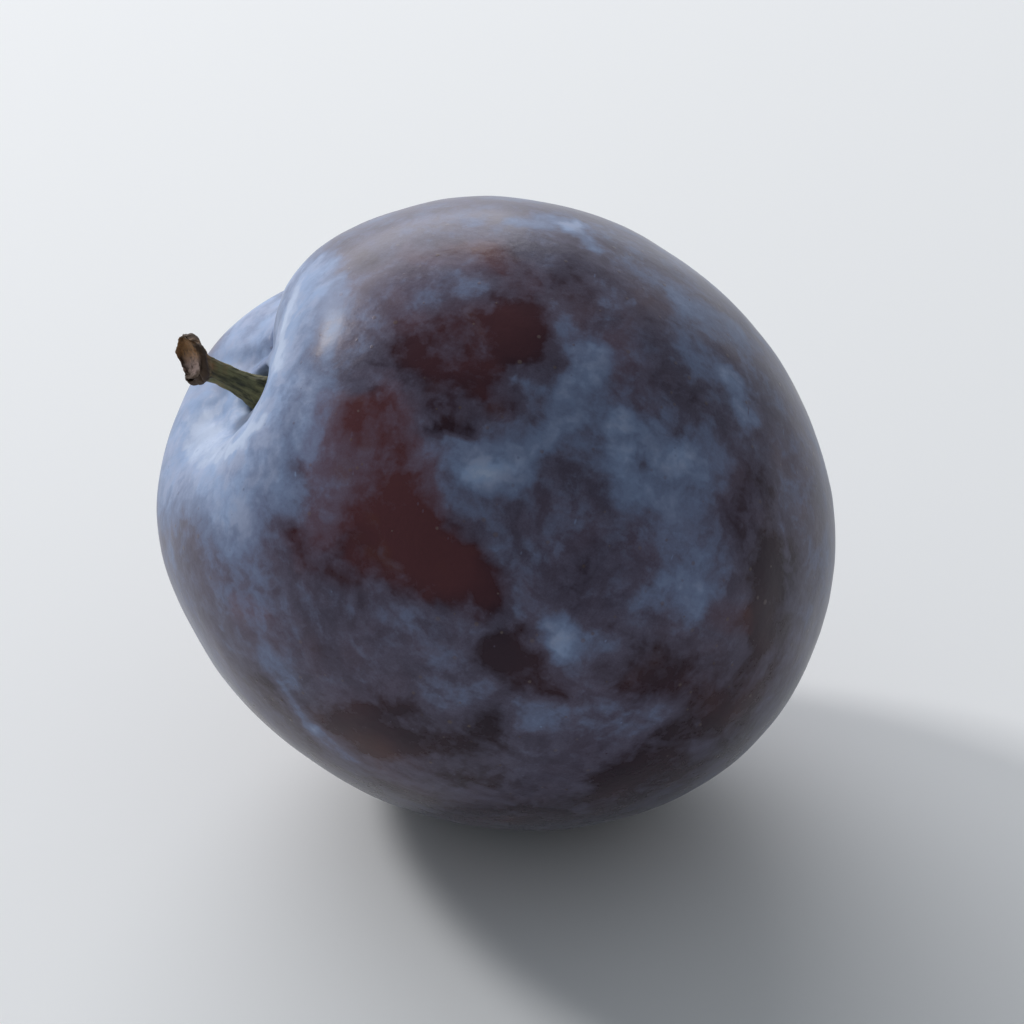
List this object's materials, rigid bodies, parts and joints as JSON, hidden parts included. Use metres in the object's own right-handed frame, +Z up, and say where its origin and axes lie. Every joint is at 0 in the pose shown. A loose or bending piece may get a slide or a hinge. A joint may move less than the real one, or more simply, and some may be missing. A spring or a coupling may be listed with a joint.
{
  "type": "plum",
  "caption": "Ripe blue plum, oval and bloom-covered, with a suture groove and a short stem in its hollow, lying tilted on a small flat spot.",
  "frame": {"origin": "the middle of the small flat spot under the fruit, at table height", "axes": "+Z up from the table; the stem points to -X and slants up, and the suture faces +Y and up; the fruit is longest along X"},
  "size_m": [0.05, 0.0466, 0.0477],
  "materials": {
    "skin": "dark purple skin under a blue-grey waxy bloom, rubbed off in patches",
    "stem": "dry olive brown bark"
  },
  "bodies": {
    "root": {"fruit": "skin", "stem": "stem"}
  },
  "joints": []
}
